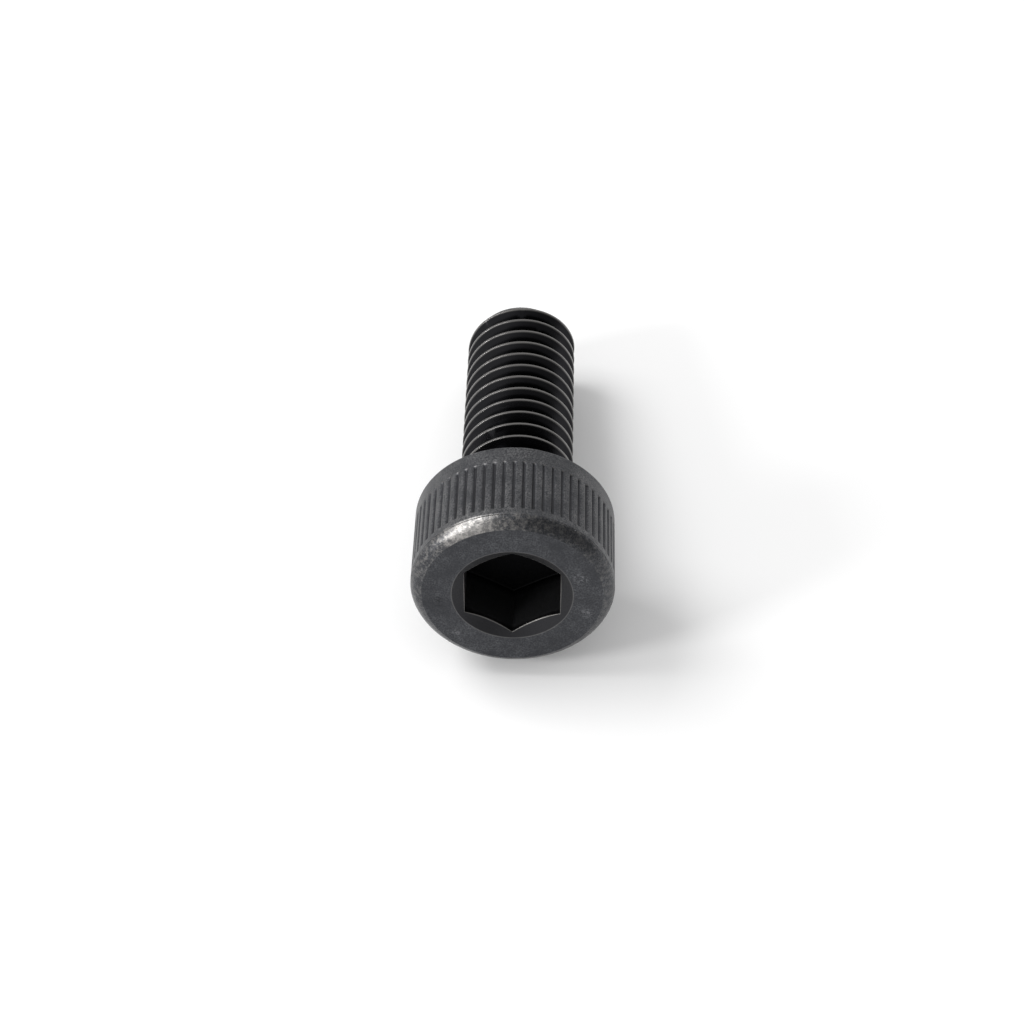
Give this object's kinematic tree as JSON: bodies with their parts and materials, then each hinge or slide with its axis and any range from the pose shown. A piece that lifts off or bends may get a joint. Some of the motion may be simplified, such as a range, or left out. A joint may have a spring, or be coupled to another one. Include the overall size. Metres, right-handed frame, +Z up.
{
  "type": "cap screw",
  "caption": "Socket head cap screw with a straight-knurled cylindrical head, hexagon socket and fully threaded shank, lying on its side.",
  "frame": {"origin": "centre of the bounding box's bottom face, on the surface that the screw lies on", "axes": "+Z up; the screw's axis lies in the YZ plane, with the head towards -Y and raised, and the shank's tip towards +Y and lower"},
  "size_m": [0.0086, 0.0176, 0.0091],
  "materials": {
    "black_oxide_steel": "black oxide, matte on the head, glossier on the thread"
  },
  "bodies": {
    "root": {"cap_screw": "black_oxide_steel"}
  },
  "joints": []
}
